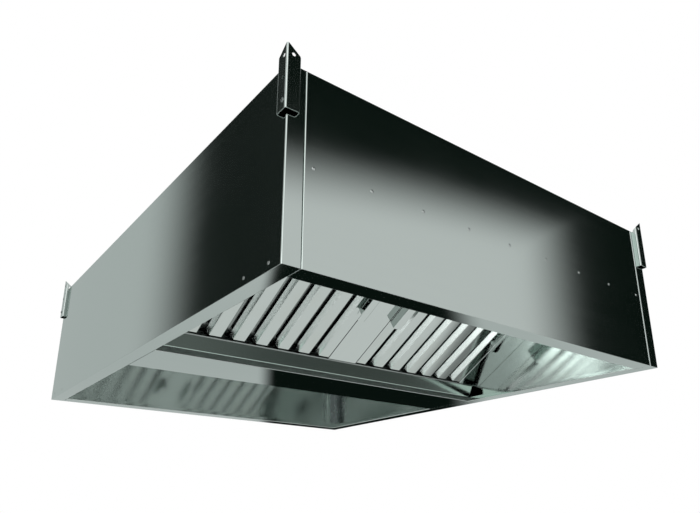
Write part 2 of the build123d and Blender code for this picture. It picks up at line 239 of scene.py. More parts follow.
class Shade:
    """Node tree of a material or a world, written as expressions."""

    def __init__(self, owner):
        owner.use_nodes = True
        self.tree = owner.node_tree
        self.tree.nodes.clear()

    def node(self, kind, settings=None, values=None, output=0):
        node = self.tree.nodes.new(kind)
        for key, value in (settings or {}).items():
            setattr(node, key, value)
        for key, value in (values or {}).items():
            if isinstance(value, Value):
                self.tree.links.new(value.socket, node.inputs[key])
            else:
                node.inputs[key].default_value = value
        return Value(self, node.outputs[output]) if len(node.outputs) else None

    def math(self, operation, *values):
        return self.node("ShaderNodeMath", {"operation": operation}, dict(enumerate(values)))

    def smooth(self, value, start, stop):
        """Smooth step from 0 at start to 1 at stop, whichever of them is larger."""
        low, high = sorted((start, stop))
        settings = {"interpolation_type": "SMOOTHSTEP"}
        step = {"Value": value, "From Min": low, "From Max": high, "To Min": 0.0, "To Max": 1.0}
        if start > stop:
            step.update({"To Min": 1.0, "To Max": 0.0})
        return self.node("ShaderNodeMapRange", settings, step)

    def between(self, value, begin, full, fade, end):
        """1 where a value lies between full and fade, and 0 before begin and after end."""
        return self.smooth(value, begin, full) * self.smooth(value, end, fade)

    def output(self, kind, surface):
        self.node(f"ShaderNodeOutput{kind}", {}, {"Surface": surface})

    def emission(self, light, strength=1.0):
        return self.node("ShaderNodeEmission", {}, {"Color": light, "Strength": strength})

    def blend(self, factor, first, second):
        """Mix of two shaders."""
        return self.node("ShaderNodeMixShader", {}, {0: factor, 1: first, 2: second})

    def noise(self, vector, scale, detail, roughness=0.5):
        values = {"Vector": vector, "Scale": scale, "Detail": detail, "Roughness": roughness}
        return self.node("ShaderNodeTexNoise", {}, values)

    def mix(self, factor, first, second):
        """Mix of two colours."""
        return self.node("ShaderNodeMix", {"data_type": "RGBA"}, {0: factor, 6: first, 7: second}, 2)

    def place(self, turn=(0, 0, 0)):
        """Object coordinates, turned."""
        here = self.node("ShaderNodeTexCoord", output="Object")
        return self.node("ShaderNodeMapping", {}, {"Vector": here, "Rotation": turn})

    def split(self):
        """Object coordinates as three numbers."""
        here = self.node("ShaderNodeTexCoord", output="Object")
        return [self.node("ShaderNodeSeparateXYZ", {}, {"Vector": here}, axis) for axis in ("X", "Y", "Z")]

    def stretched(self, vector, scale):
        return self.node("ShaderNodeVectorMath", {"operation": "MULTIPLY"}, {0: vector, 1: scale})


def toned(shade, factor):
    """A colour, darker or lighter."""
    return tuple(channel * factor for channel in shade)


def colour(shade, factor=1.0):
    return toned(shade, factor) + (1.0,)


def steel(name, base, roughness, run=ACROSS, turn=0.0, grain=None, film=0.0, clouds=0.025, corners=0.0):
    """Satin stainless sheet with grain along its run, clouds from wiping and scratches.

    A film of grease yellows it in patches, and corners dulls it in the corners of the canopy.
    """
    finish = bpy.context.scene.hood_finish
    material = bpy.data.materials.new(name)
    shade = Shade(material)
    here = shade.place((-turn, 0, 0))

    def brushed(lengthwise, crosswise, detail, roughness=0.5):
        scale = tuple(lengthwise if axis else crosswise for axis in run)
        return shade.noise(shade.stretched(here, scale), 1.0, detail, roughness)

    streaks = brushed(3.0, 700.0, 3.0, 0.6)
    bands = brushed(0.9, 60.0, 2.0)
    wiped = shade.noise(here, 5.0, 3.0, 0.55)
    scratches = shade.smooth(brushed(14.0, 420.0, 1.0), 0.70, 0.76)
    tone = wiped * 0.6 + bands * 0.4
    base_colour = shade.mix(tone, colour(base, 1.0 - clouds), colour(base, 1.0 + clouds))
    if film:
        greased = shade.smooth(wiped, 0.42, 0.68)
        grease = colour((base[0] * 0.80, base[1] * 0.74, base[2] * 0.62))
        base_colour = shade.mix(greased * film, base_colour, grease)
    rough = (wiped - 0.5) * 0.04 + (bands - 0.5) * 0.02 + scratches * 0.03 + roughness
    if corners:
        x, y = (shade.math("ABSOLUTE", axis) for axis in shade.split()[:2])
        rough = rough + shade.smooth(x + y, 1.0, 1.2) * corners
    depth = finish.grain if grain is None else grain
    bump = shade.node(
        "ShaderNodeBump", {}, {"Strength": depth, "Distance": 0.0002, "Height": streaks + scratches * 0.5}
    )
    surface = shade.node(
        "ShaderNodeBsdfPrincipled",
        {},
        {
            "Base Color": base_colour,
            "Metallic": 1.0,
            "Roughness": rough,
            "Normal": bump,
            "Specular Tint": colour((0.60, 0.64, 0.63)),
        },
    )
    shade.output("Material", surface)
    return material


def start(name, kind, **settings):
    """Add a primitive with nothing else selected, and enter edit mode."""
    bpy.ops.object.select_all(action="DESELECT")
    bpy.context.tool_settings.mesh_select_mode = (True, False, False)
    getattr(bpy.ops.mesh, f"primitive_{kind}_add")(**settings)
    piece = bpy.context.object
    piece.name = name
    piece.data.name = name
    bpy.ops.object.mode_set(mode="EDIT")
    return piece


def pick(kind, test):
    """In edit mode, select only the faces, edges or corners whose middle passes a test."""
    mesh = bpy.context.object.data
    bpy.context.tool_settings.mesh_select_mode = (kind == "verts", kind == "edges", kind == "faces")
    bpy.ops.mesh.select_all(action="DESELECT")
    shape = bmesh.from_edit_mesh(mesh)
    for item in getattr(shape, kind):
        corners = [item] if kind == "verts" else item.verts
        middle = sum((corner.co for corner in corners), Vector()) / len(corners)
        if test(middle, item):
            item.select_set(True)
    bmesh.update_edit_mesh(mesh)


def pull(step):
    """Extrude what is selected by a step."""
    bpy.ops.mesh.extrude_region_move(TRANSFORM_OT_translate={"value": step})


def widen(value, centre):
    bpy.ops.transform.resize(value=value, center_override=centre)


def modify(piece, kind, **settings):
    """Add a modifier and apply it."""
    modifier = piece.modifiers.new(kind.lower(), kind)
    for key, value in settings.items():
        setattr(modifier, key, value)
    with bpy.context.temp_override(object=piece, active_object=piece, selected_objects=[piece]):
        bpy.ops.object.modifier_apply(modifier=modifier.name)


def ease(piece, width, angle):
    """Round the edges that are sharper than an angle."""
    modify(piece, "BEVEL", width=width, segments=2, limit_method="ANGLE", angle_limit=radians(angle))


def close(outside=True):
    """Leave edit mode with doubles merged and, on a closed shape, its faces turned outwards."""
    bpy.ops.mesh.select_all(action="SELECT")
    bpy.ops.mesh.remove_doubles(threshold=NEAR)
    if outside:
        bpy.ops.mesh.normals_make_consistent(inside=False)
    bpy.ops.object.mode_set(mode="OBJECT")


def turned(name, rings, segments, closed=False):
    """Turned piece round Z: a circle extruded and resized through its rings of (radius, height)."""
    radius, height = rings[0]
    fill = "NOTHING" if closed else "NGON"
    piece = start(name, "circle", vertices=segments, radius=radius, fill_type=fill, location=(0, 0, height))
    bpy.ops.mesh.select_all(action="SELECT")
    for (before, low), (after, high) in zip(rings, rings[1:]):
        pull((0, 0, high - low))
        widen((after / before, after / before, 1), (0, 0, high))
    piece.location = (0, 0, 0)
    bpy.ops.object.mode_set(mode="OBJECT")
    for corner in piece.data.vertices:
        corner.co.z += height
    bpy.ops.object.mode_set(mode="EDIT")
    close()
    return piece


def headed(name, profile, radius, height, segments):
    """Turned head of a fastener, from a profile of shares."""
    return turned(name, [(radius * out, height * rise) for out, rise in profile], segments)


def folded(name, web, run, left, right, wall, radius, segments=3):
    """Folded sheet: a flat web across X at a height, run along Y, with flanges pulled from its two edges.

    It then gets its bends and its wall. Left and right list the steps of the flanges, as (x, z).
    """
    low, high, level = web
    begin, end = run
    middle = ((low + high) / 2, (begin + end) / 2, level)
    piece = start(name, "plane", size=1, location=middle)
    bpy.ops.mesh.select_all(action="SELECT")
    widen((high - low, end - begin, 1), middle)
    for edge, steps in ((low, left), (high, right)):
        place = [edge, level]
        for step in steps:
            x, z = place[0] - middle[0], place[1] - level
            pick(
                "edges",
                lambda m, e, x=x, z=z: abs(m.x - x) < NEAR
                and abs(m.z - z) < NEAR
                and abs(e.verts[0].co.y - e.verts[1].co.y) > 1e-4,
            )
            pull((step[0], 0, step[1]))
            place = [place[0] + step[0], place[1] + step[1]]
    if radius:
        pick("edges", lambda m, e: len(e.link_faces) == 2)
        bpy.ops.mesh.bevel(offset=radius, segments=segments, affect="EDGES", offset_type="OFFSET")
    close(outside=False)
    put(piece, Matrix())
    modify(piece, "SOLIDIFY", thickness=wall, offset=-1, use_even_offset=True)
    return piece


def put(piece, matrix):
    """Move a piece by a matrix and bring its place into its mesh."""
    piece.matrix_world = matrix @ piece.matrix_world
    bpy.context.view_layer.update()
    bpy.ops.object.select_all(action="DESELECT")
    piece.select_set(True)
    bpy.context.view_layer.objects.active = piece
    bpy.ops.object.transform_apply(location=True, rotation=True, scale=True)
    if matrix.determinant() < 0:
        piece.data.flip_normals()


def copied(piece, matrix):
    """Copy of a piece with its own mesh, moved by a matrix."""
    twin = piece.copy()
    twin.data = piece.data.copy()
    bpy.context.scene.collection.objects.link(twin)
    twin.data.transform(matrix)
    if matrix.determinant() < 0:
        twin.data.flip_normals()
    return twin


def joined(pieces, name):
    """Join pieces under one name."""
    bpy.ops.object.select_all(action="DESELECT")
    for piece in pieces:
        piece.select_set(True)
    bpy.context.view_layer.objects.active = pieces[0]
    if len(pieces) > 1:
        bpy.ops.object.join()
    whole = bpy.context.object
    whole.name = name
    whole.data.name = name
    return whole


def repeated(seed, places, name):
    """Copies of a seed piece at matrices, joined. The seed goes."""
    whole = joined([copied(seed, place) for place in places], name)
    bpy.data.objects.remove(seed)
    return whole


def paint(piece, material, others=()):
    """Give a piece its material, and other materials to the faces that pass their tests."""
    piece.data.materials.clear()
    piece.data.materials.append(bpy.data.materials[material])
    for index, (name, test) in enumerate(others, 1):
        piece.data.materials.append(bpy.data.materials[name])
        for face in piece.data.polygons:
            if test(face):
                face.material_index = index


def dress(piece, body, slot, material, *hidden, angle=35, others=()):
    """Give a finished piece its materials, its body and the nodes it stands for. Its slot is not used."""
    bpy.ops.object.select_all(action="DESELECT")
    piece.select_set(True)
    bpy.context.view_layer.objects.active = piece
    bpy.ops.object.shade_smooth_by_angle(angle=radians(angle))
    modify(piece, "WEIGHTED_NORMAL", mode="FACE_AREA", keep_sharp=True)
    paint(piece, material, others)
    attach(piece, body)
    if hidden:
        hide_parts(*hidden)


def facing(place, direction):
    """Matrix that stands a piece on a place, with its Z along a direction."""
    return Matrix.Translation(place) @ Vector(direction).to_track_quat("Z", "Y").to_matrix().to_4x4()


def planted(seed, places, name):
    """Copies of a seed piece on places, each with its direction, joined."""
    return repeated(seed, [facing(place, direction) for place, direction in places], name)


def row_matrix(turn):
    """Front face of a filter row: X along the row, Y up the slope, Z towards the cook."""
    along = Vector((turn, 0, 0))
    out = Vector((0, -turn * sin(SLOPE), -cos(SLOPE)))
    up = out.cross(along)
    origin = Vector((0, -turn * ROW_FOOT[0], ROW_FOOT[1]))
    return Matrix.Translation(origin) @ Matrix((along, up, out)).transposed().to_4x4()


def cassette_matrix(turn, side):
    """A row's matrix, moved to the middle of a cassette's foot."""
    return row_matrix(turn) @ Matrix.Translation((turn * side * CASSETTE_PITCH / 2, SEAT_GAP, 0))


class HOOD_OT_finishes(bpy.types.Operator):
    """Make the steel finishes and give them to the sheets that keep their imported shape"""

    bl_idname = "hood.finishes"
    bl_label = "Steel finishes"

    def execute(self, context):
        finish = context.scene.hood_finish
        base, inner, rough = finish.steel, finish.inner_steel, finish.gloss
        steel("satin_front", base, rough, run=ACROSS)
        steel("satin_side", base, rough, run=ALONG)
        steel("satin_roof", base, rough + 0.04, run=ALONG)
        steel("satin_bar", base, rough - 0.03, run=ACROSS, grain=0.0)
        steel("satin_inside", inner, rough + 0.04, run=UPRIGHT, grain=0.0, corners=0.04)
        steel("satin_trough", (0.38, 0.47, 0.43), rough + 0.04, film=0.1, clouds=0.06, grain=0.0)
        for row, turn in TURNS.items():
            lie = {"run": ALONG, "turn": -turn * SLOPE, "grain": 0.0}
            steel(f"satin_{row}_slope", inner, rough, **lie)
            steel(f"greased_{row}_slope", inner, rough + 0.02, film=0.15, **lie)
            # Painted shade: a half-dark copy of the inner steel for the rear baffles deep in the cassettes.
            steel(f"rear_{row}_slope", toned(inner, 0.5), rough + 0.15, **lie)
        # Painted shade: a near-black copy of the inner steel stands in for the shade in the cassette frames
        # and under the front channels.
        steel("cavity_steel", toned(inner, 0.2), rough + 0.3, run=ALONG, grain=0.0)
        steel("satin_bracket", base, rough + 0.03, run=UPRIGHT, grain=0.0)
        steel("screw_steel", toned(base, 0.4), rough + 0.1, run=UPRIGHT, grain=0.0)
        steel("galvanised_angle", (0.42, 0.45, 0.45), rough + 0.2, run=UPRIGHT, clouds=0.14)
        steel("fastener_steel", (0.46, 0.49, 0.48), rough + 0.06, run=UPRIGHT, grain=0.01)
        steel("flank_steel", toned(inner, 0.96), rough + 0.17, run=ALONG, grain=0.0)
        # Painted highlight: a near-white copy for the channel flanks that face right, about twice as light
        # as the webs under any light.
        steel("bright_flank_steel", (0.93, 0.96, 0.95), rough + 0.1, run=ALONG, grain=0.0)
        # Painted shadow: a darker copy of the inner steel on the lower rails stands in for the shadow line
        # above the trough.
        steel("rail_steel", toned(inner, 0.55), rough + 0.1, run=ACROSS, grain=0.0)
        # Painted shade: a darker, rougher copy of the inner steel for the sides of the central bar.
        steel("bar_side_steel", toned(inner, 0.8), rough + 0.25, run=ACROSS, grain=0.0)
        kept = {
            "satin_front": ("front_stiffener", "back_stiffener"),
            "satin_inside": ("corner_cleats",),
            "satin_roof": ("roof_panel",),
            "satin_bar": ("near_closing_plate", "far_closing_plate"),
            "satin_near_slope": ("near_upper_rail",),
            "satin_far_slope": ("far_upper_rail",),
            # Painted shadow: the lower rails get the darker copy as a shadow line.
            "rail_steel": ("near_lower_rail", "far_lower_rail"),
            # Painted shade: the cassette frames get the near-black copy.
            "cavity_steel": tuple(f"{row}_{side}_frame" for row in TURNS for side in SIDES),
            "galvanised_angle": tuple(f"{corner}_corner_angle" for corner in CORNERS),
        }
        for material, names in kept.items():
            for name in names:
                paint(nodes[name], material)
        # Painted shade: the faces of the bar that point along Y get the darker copy.
        sides = ("bar_side_steel", lambda face: abs(face.normal.y) > 0.9)
        paint(nodes["central_bar"], "satin_bar", [sides])
        return {"FINISHED"}


class HOOD_OT_panels(bpy.types.Operator):
    """End, front and back panels with round bends, bottom lips and top flanges"""

    bl_idname = "hood.panels"
    bl_label = "Panels"

    def execute(self, context):
        top = HEIGHT - SHEET
        flange_level = -(top - SHEET)
        wrap = HALF_WIDTH - SEAM_X
        bend = context.scene.hood_sizes.panel_bend
        inset = 0.001
        # stand: X' along the panel, Y' up, Z' outwards. lay: X' outwards, Z' down
        panels = {
            "end": {
                "web": (-HALF_LENGTH, HALF_LENGTH, 0),
                "left": [(0, -wrap), (SEAM_FLANGE, 0)],
                "right": [(0, -wrap), (-SEAM_FLANGE, 0)],
                "stand": Matrix(((0, 0, 1, HALF_WIDTH), (1, 0, 0, 0), (0, 1, 0, 0), (0, 0, 0, 1))),
                "lip": (SEAM_X, HALF_WIDTH - inset, 0),
                "run": (inset - HALF_LENGTH, HALF_LENGTH - inset),
                "flange": (HALF_WIDTH - TOP_FLANGE, HALF_WIDTH - inset, flange_level),
                "lay": Matrix(((1, 0, 0, 0), (0, -1, 0, 0), (0, 0, -1, 0), (0, 0, 0, 1))),
            },
            "front": {
                "web": (-SEAM_X, SEAM_X, 0),
                "left": [(0, -SEAM_FLANGE)],
                "right": [(0, -SEAM_FLANGE)],
                "stand": Matrix(((1, 0, 0, 0), (0, 0, -1, -HALF_LENGTH), (0, 1, 0, 0), (0, 0, 0, 1))),
                "lip": (HALF_LENGTH - FRONT_LIP, HALF_LENGTH - inset, 0),
                "run": (-SEAM_X, SEAM_X),
                "flange": (HALF_LENGTH - TOP_FLANGE, HALF_LENGTH - inset, flange_level),
                "lay": Matrix(((0, -1, 0, 0), (-1, 0, 0, 0), (0, 0, -1, 0), (0, 0, 0, 1))),
            },
        }
        uses = {
            "end": (("right_end", Matrix()), ("left_end", Matrix.Diagonal((-1, 1, 1, 1)))),
            "front": (("front", Matrix()), ("back", Matrix.Diagonal((1, -1, 1, 1)))),
        }
        finishes = {"end": "satin_side", "front": "satin_front"}
        for kind, size in panels.items():
            sheet = folded("sheet", size["web"], (0, top), size["left"], size["right"], SHEET, bend, 6)
            put(sheet, size["stand"])
            lip = folded("lip", size["lip"], size["run"], [(0, -LIP_UPSTAND)], [], SHEET, FOLD_RADIUS)
            put(lip, size["lay"])
            flange = folded("flange", size["flange"], size["run"], [], [], SHEET, 0)
            put(flange, size["lay"])
            whole = joined([sheet, lip, flange], "panel")
            ease(whole, EDGE_BREAK, 60)
            for name, flip in uses[kind]:
                panel = copied(whole, flip)
                panel.name = f"{name.removesuffix('_end')}_sheet"
                panel.data.name = panel.name
                back = ("satin_inside", lambda face: face.normal.xy.dot(face.center.xy) < -0.1)
                dress(panel, "canopy", "shell", finishes[kind], f"{name}_panel", others=[back])
            bpy.data.objects.remove(whole)
        return {"FINISHED"}


def flank(face, out, way):
    """Whether a face is the outer side of a channel's flank, turned to the left or to the right."""
    return face.normal.dot(out) > 0.2 and face.normal.x * way > 0.6


class HOOD_OT_baffles(bpy.types.Operator):
    """Front and rear baffles of the cassettes, with drip tabs on the front channels"""

    bl_idname = "hood.baffles"
    bl_label = "Labyrinth baffles"

    def execute(self, context):
        bend = context.scene.hood_sizes.bend
        half_web = WEB_WIDTH / 2
        upright = [(0, -FLANK_REACH)]
        flanks = {"left": [(-FLANK_RUN, -FLANK_REACH)], "right": [(FLANK_RUN, -FLANK_REACH)]}
        shapes = {
            "first": (upright, flanks["right"]),
            "middle": (flanks["left"], flanks["right"]),
            "last": (flanks["left"], upright),
        }
        fronts = {}
        for kind, (left, right) in shapes.items():
            face, run = (-half_web, half_web, 0), (WEB_FOOT, INNER_HEAD)
            web = folded("front_web", face, run, left, right, BAFFLE_SHEET, bend)
            fronts[kind] = joined([web, self.tab()], f"{kind}_front_baffle")
        shade_painted_rear = folded(
            "rear_baffle",
            (-half_web, half_web, BAFFLE_SHEET - CASSETTE_DEPTH),
            (INNER_FOOT, INNER_HEAD),
            [(-FLANK_RUN, FLANK_REACH)],
            [(FLANK_RUN, FLANK_REACH)],
            BAFFLE_SHEET,
            bend,
        )
        first = -WEB_PITCH * (WEB_COUNT - 1) / 2
        kinds = ["first"] + ["middle"] * (WEB_COUNT - 2) + ["last"]
        for row, turn in TURNS.items():
            for side, way in SIDES.items():
                base = cassette_matrix(turn, way)
                out = base.col[2].xyz
                name = f"{row}_{side}"
                body = f"{name}_cassette"
                webs = [
                    copied(fronts[kind], base @ Matrix.Translation((first + WEB_PITCH * i, 0, 0)))
                    for i, kind in enumerate(kinds)
                ]
                whole = joined(webs, f"{name}_front_webs")
                others = [
                    # Painted shade: the inner faces of the front channels get the near-black copy.
                    ("cavity_steel", lambda face, out=out: face.normal.dot(out) < -0.1),
                    ("flank_steel", lambda face, out=out: flank(face, out, -1)),
                    # Painted highlight: the flanks that face right get the near-white copy.
                    ("bright_flank_steel", lambda face, out=out: flank(face, out, 1)),
                ]
                node = f"{name}_front_baffles"
                dress(whole, body, "front_baffle", f"greased_{row}_slope", node, angle=40, others=others)
                webs = [
                    copied(shade_painted_rear, base @ Matrix.Translation((first + WEB_PITCH * (i + 0.5), 0, 0)))
                    for i in range(WEB_COUNT - 1)
                ]
                whole = joined(webs, f"{name}_rear_webs")
                # Painted shade: the rear baffles get the half-dark copy.
                dress(whole, body, "rear_baffle", f"rear_{row}_slope", f"{name}_rear_baffles", angle=40)
        for piece in (*fronts.values(), shade_painted_rear):
            bpy.data.objects.remove(piece)
        return {"FINISHED"}

    def tab(self):
        """Drip tab, bent back at the lower end of a front channel."""
        tab = start("drip_tab", "plane", size=1, location=(0, WEB_FOOT, 0))
        widen((TAB_WIDTH, 0.0004, 1), (0, WEB_FOOT, 0))
        pick("edges", lambda m, e: m.y < -1e-5)
        pull((0, INNER_FOOT - WEB_FOOT, -TAB_DROP))
        close(outside=False)
        put(tab, Matrix())
        modify(tab, "SOLIDIFY", thickness=BAFFLE_SHEET, offset=-1)
        return tab


class HOOD_OT_grips(bpy.types.Operator):
    """Folded grips, two on each cassette"""

    bl_idname = "hood.grips"
    bl_label = "Grips"

    def execute(self, context):
        cheek = CASSETTE_WIDTH / 2 - 0.003
        foot, stand, reach = 0.014, 0.027, 0.024
        ends = (0.188, 0.286)
        steps = [(0, stand - SHEET), (-reach, 0)]
        grip = folded("grip", (cheek - foot, cheek, SHEET), ends, [], steps, SHEET, FOLD_RADIUS)
        ease(grip, EDGE_BREAK, 50)
        dimple = [(0.0022, 0.0), (0.0022, 0.0002), (0.0014, 0.00035), (0.0007, 0.00025)]
        spot = turned("weld_spot", dimple, 12)
        weld_line, first_weld, weld_pitch = cheek - 0.0075, 0.2, 0.037
        places = [Matrix.Translation((weld_line, first_weld + weld_pitch * i, SHEET)) for i in range(3)]
        spots = repeated(spot, places, "weld_spots")
        right = joined([grip, spots], "grip")
        mirror = Matrix.Diagonal((-1, 1, 1, 1))
        for row, turn in TURNS.items():
            for side, way in SIDES.items():
                base = cassette_matrix(turn, way)
                name = f"{row}_{side}"
                pair = joined([copied(right, base), copied(right, base @ mirror)], f"{name}_grip_pair")
                dress(pair, f"{name}_cassette", "grip", f"satin_{row}_slope", f"{name}_grips")
        bpy.data.objects.remove(right)
        return {"FINISHED"}


class HOOD_OT_blanks(bpy.types.Operator):
    """Blank pans beside the cassettes"""

    bl_idname = "hood.blanks"
    bl_label = "Blanks"

    def execute(self, context):
        gap = 0.00075
        bay = (CASSETTE_PITCH - CASSETTE_WIDTH) / 2
        outer = CASSETTE_PITCH / 2 + CASSETTE_WIDTH / 2
        inner_x = HALF_WIDTH - SHEET
        spans = {
            "left": (-inner_x, -outer - gap),
            "centre": (gap - bay, bay - gap),
            "right": (outer + gap, inner_x),
        }
        level, bend = 0.0004, 0.0016
        drop = (0, -0.0234)
        for row, turn in TURNS.items():
            for name, (begin, end) in spans.items():
                low, high = sorted((turn * begin, turn * end))
                blank = folded(
                    f"{row}_{name}_pan",
                    (low, high, level),
                    (0, SEAT_GAP + CASSETTE_LENGTH),
                    [drop],
                    [drop],
                    SHEET,
                    bend,
                )
                put(blank, row_matrix(turn))
                dress(blank, "canopy", "housing", f"satin_{row}_slope", f"{row}_{name}_blank", angle=40)
        return {"FINISHED"}


class HOOD_OT_trough(bpy.types.Operator):
    """Grease trough with its hemmed rim and rounded corners"""

    bl_idname = "hood.trough"
    bl_label = "Grease trough"

    def execute(self, context):
        low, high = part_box("grease_trough")
        flare, hem, hem_fold = TROUGH_FLARE, TROUGH_HEM, 0.003
        corner_radius, foot_radius = 0.004, 0.0025
        depth = high.z - low.z
        width, length = high.x - low.x, high.y - low.y
        centre = (0, 0, low.z)
        trough = start("grease_tray", "plane", size=1, location=centre)
        bpy.ops.mesh.select_all(action="SELECT")
        widen((width - 2 * flare, length - 2 * flare, 1), centre)
        pick("edges", lambda m, e: True)
        pull((0, 0, depth))
        widen((width / (width - 2 * flare), length / (length - 2 * flare), 1), (0, 0, high.z))
        pull((0, 0, 0))
        widen(((width - 2 * hem) / width, (length - 2 * hem) / length, 1), (0, 0, high.z))
        pull((0, 0, -hem_fold))
        pick("edges", lambda m, e: abs(e.verts[0].co.z - e.verts[1].co.z) > 0.01)
        bpy.ops.mesh.bevel(offset=corner_radius, segments=4, affect="EDGES", offset_type="OFFSET")
        pick("edges", lambda m, e: m.z < 1e-5 and len(e.link_faces) == 2)
        bpy.ops.mesh.bevel(offset=foot_radius, segments=3, affect="EDGES", offset_type="OFFSET")
        bpy.ops.mesh.select_all(action="SELECT")
        bpy.ops.mesh.remove_doubles(threshold=NEAR)
        pick("faces", lambda m, e: abs(e.normal.z) > 0.99 and m.z < 1e-4)
        up = next(face for face in bmesh.from_edit_mesh(trough.data).faces if face.select).normal.z > 0
        close(outside=False)
        put(trough, Matrix())
        modify(trough, "SOLIDIFY", thickness=SHEET, offset=1 if up else -1, use_even_offset=True)
        dress(trough, "trough", "trough", "satin_trough", "grease_trough", angle=40)
        return {"FINISHED"}


class HOOD_OT_collar(bpy.types.Operator):
    """Duct collar, turned with a bead and a hemmed mouth"""

    bl_idname = "hood.collar"
    bl_label = "Duct collar"

    def execute(self, context):
        low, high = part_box("duct_collar")
        foot, top = low.z, high.z
        outer = COLLAR_RADIUS
        bore = outer - SHEET
        edge = high.x
        corner, hem = 0.0004, 0.0003
        # (step out from the spigot, height over the roof): the weld at its foot, and the bead half way up
        weld = ((0.0035, SHEET), (0.0015, 0.0020), (0.0004, 0.0034), (0, 0.0052))
        bead = (
            (0, 0.0300),
            (0.0012, 0.0320),
            (0.0024, 0.0336),
            (0.0030, 0.0360),
            (0.0024, 0.0384),
            (0.0012, 0.0400),
            (0, 0.0420),
        )
        rings = [(bore, foot), (edge - corner, foot), (edge, foot + corner), (edge, foot + 2 * corner)]
        rings += [(edge - corner, foot + SHEET)]
        rings += [(outer + out, foot + rise) for out, rise in weld + bead]
        rings += [(outer, top - 2 * hem), (outer - hem, top), (bore + hem, top), (bore, top - 2 * hem)]
        rings += [(bore, foot)]
        collar = turned("duct_spigot", rings, 120, closed=True)
        dress(collar, "canopy", "collar", "satin_roof", "duct_collar")
        return {"FINISHED"}


class HOOD_OT_brackets(bpy.types.Operator):
    """Hanging brackets round the corners, with their screws"""

    bl_idname = "hood.brackets"
    bl_label = "Hanging brackets"

    def execute(self, context):
        wall, bend = 0.0015, 0.004
        x_face, y_face = HALF_WIDTH + BRACKET_FACE, HALF_LENGTH + BRACKET_FACE
        # modelled for the front right corner: the web is the front leg, and it is folded as it lies on XY
        bracket = folded(
            "bracket",
            (-BRACKET_LEG, 0, 0),
            (BRACKET_FOOT, BRACKET_APEX),
            [(0, -BRACKET_FACE)],
            [(0, -BRACKET_LEG), (-BRACKET_FACE, 0)],
            wall,
            bend,
            4,
        )
        slope = (BRACKET_APEX - BRACKET_SHOULDER) / BRACKET_LEG
        bpy.ops.object.mode_set(mode="EDIT")
        bpy.ops.mesh.select_all(action="SELECT")
        bpy.ops.mesh.bisect(
            plane_co=(0, BRACKET_APEX, 0), plane_no=(-slope, 1, -slope), use_fill=True, clear_outer=True
        )
        bpy.ops.object.mode_set(mode="OBJECT")
        # stand it up: web X stays X, run Y becomes Z, and the web's normal Z becomes -Y
        stand = Matrix(((1, 0, 0, x_face), (0, 0, -1, -y_face), (0, 1, 0, 0), (0, 0, 0, 1)))
        put(bracket, stand)
        leg_line = HANGER_HOLE_INSET - y_face
        front_inset, front_height = 0.015, 0.414
        leg_heights, screw_height = (0.412, 0.363), 0.314
        holes = [((x_face - front_inset, -y_face, front_height), (0, -1, 0))]
        holes += [((x_face, leg_line, height), ACROSS) for height in leg_heights]
        for place, direction in holes:
            drill = start("hanger_hole", "cylinder", vertices=32, radius=HANGER_HOLE_RADIUS, depth=0.01)
            close()
            put(drill, facing(place, direction))
            modify(bracket, "BOOLEAN", object=drill, operation="DIFFERENCE", solver="EXACT")
            bpy.data.objects.remove(drill)
        ease(bracket, 0.0002, 50)
        sizes = context.scene.hood_sizes
        screw = headed("screw_head", SCREW_HEAD, sizes.screw_radius, sizes.screw_height, 24)
        put(screw, facing((x_face, leg_line, screw_height), ACROSS))
        screws = []
        for corner, (turn, way) in CORNERS.items():
            flip = Matrix.Diagonal((way, turn, 1, 1))
            piece = copied(bracket, flip)
            piece.name = f"{corner}_hanger"
            piece.data.name = piece.name
            dress(piece, "canopy", "bracket", "satin_bracket", f"{corner}_bracket")
            screws.append(copied(screw, flip))
        heads = joined(screws, "screw_heads")
        dress(heads, "canopy", "fastener", "screw_steel", "bracket_screws")
        bpy.data.objects.remove(bracket)
        bpy.data.objects.remove(screw)
        return {"FINISHED"}


class HOOD_OT_rivets(bpy.types.Operator):
    """Domed rivets on the panels, the rim, the roof, the collar and the bar"""

    bl_idname = "hood.rivets"
    bl_label = "Rivets"

    def execute(self, context):
        sizes = context.scene.hood_sizes
        roof_x, roof_y = HALF_WIDTH - TOP_FLANGE / 2, HALF_LENGTH - TOP_FLANGE / 2
        ends = (-1, 1)
        row_pitch, row_height = 0.135, 0.199
        rim_height, rim_insets = 0.015, (0.042, 0.130)
        roof_pitch, ring_radius = 0.25, 0.17
        bar_height, bar_offset = 0.008, 0.06
        groups = {}
        for name, way in (("front", -1), ("back", 1)):
            row = [(row_pitch * (i - 4), way * HALF_LENGTH, row_height) for i in range(9)]
            groups[f"{name}_rivets"] = [(place, (0, way, 0)) for place in row]
        groups["rim_rivets"] = [
            ((way * HALF_WIDTH, end * (HALF_LENGTH - inset), rim_height), (way, 0, 0))
            for way in ends
            for end in ends
            for inset in rim_insets
        ]
        roof = [(way * roof_x, roof_pitch * (i - 2.5), HEIGHT) for way in ends for i in range(6)]
        roof += [(roof_pitch * (i - 2), way * roof_y, HEIGHT) for way in ends for i in range(5)]
        groups["roof_rivets"] = [(place, UPRIGHT) for place in roof]
        turns = [i * pi / 4 for i in range(8)]
        ring = [(ring_radius * cos(turn), ring_radius * sin(turn), HEIGHT + SHEET) for turn in turns]
        groups["collar_rivets"] = [(place, UPRIGHT) for place in ring]
        groups["bar_rivets"] = [
            ((way * (SEAM_X - SHEET), end * bar_offset, bar_height), (-way, 0, 0))
            for way in ends
            for end in ends
        ]
        for group, places in groups.items():
            height = sizes.rivet_height * (0.45 if group == "rim_rivets" else 1.0)
            head = headed("rivet", RIVET_HEAD, sizes.rivet_radius, height, 20)
            heads = planted(head, places, f"{group}_domed")
            dress(heads, "canopy", "fastener", "fastener_steel", group)
        return {"FINISHED"}


